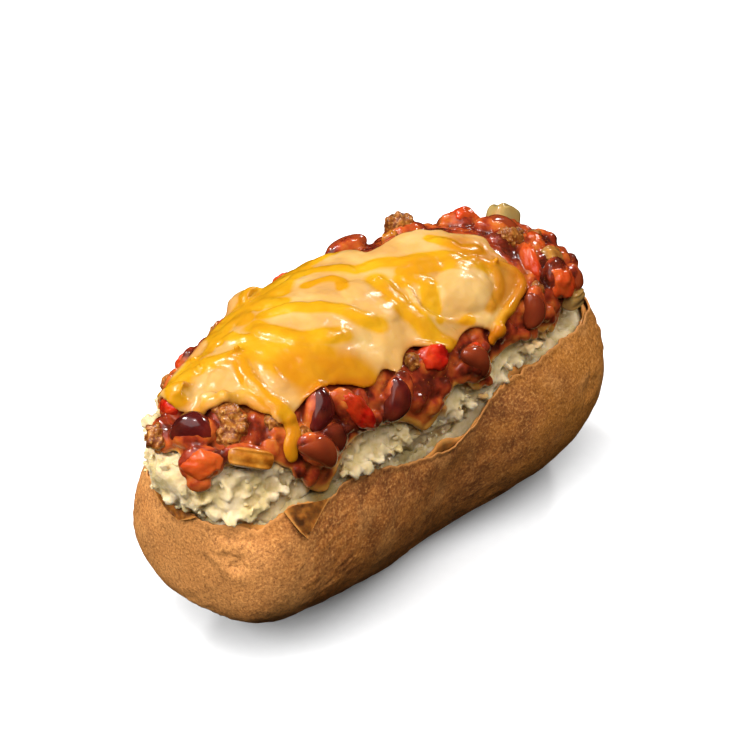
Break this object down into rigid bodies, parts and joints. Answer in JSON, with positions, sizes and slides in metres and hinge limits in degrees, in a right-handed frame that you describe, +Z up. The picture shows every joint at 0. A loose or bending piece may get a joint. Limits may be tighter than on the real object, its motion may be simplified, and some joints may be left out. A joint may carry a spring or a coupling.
{
  "type": "loaded baked potato",
  "caption": "Baked potato split open along the top, its fluffy flesh heaped up under a layer of bean chili and melted cheese.",
  "frame": {"origin": "centre of the bounding box in plan, at the height of the resting spot under the potato", "axes": "+X along the potato's length, towards its blunter end; +Y towards the side where the heap leans back; +Z up"},
  "size_m": [0.1476, 0.0672, 0.0819],
  "materials": {
    "skin": "baked potato skin, netted and dull",
    "flesh": "fluffed potato flesh, moist and crumbly",
    "chili": "glossy tomato and chili sauce",
    "cheese": "melted cheddar and jack cheese, soft sheen",
    "bean": "cooked kidney bean in sauce",
    "tomato": "wet cooked tomato",
    "mince": "browned minced beef, moist",
    "onion": "cooked onion and pepper stained by the sauce"
  },
  "bodies": {
    "root": {"jacket": "skin", "flesh": "flesh", "chili": "chili", "cheese": "cheese", "bean_1": "bean", "bean_2": "bean", "bean_3": "bean", "bean_4": "bean", "bean_5": "bean", "bean_6": "bean", "bean_7": "bean", "bean_8": "bean", "bean_9": "bean", "tomato_1": "tomato", "tomato_2": "tomato", "tomato_3": "tomato", "tomato_4": "tomato", "tomato_5": "tomato", "tomato_6": "tomato", "tomato_7": "tomato", "tomato_8": "tomato", "mince_1": "mince", "mince_2": "mince", "mince_3": "mince", "mince_4": "mince", "onion_1": "onion", "onion_2": "onion"}
  },
  "joints": []
}
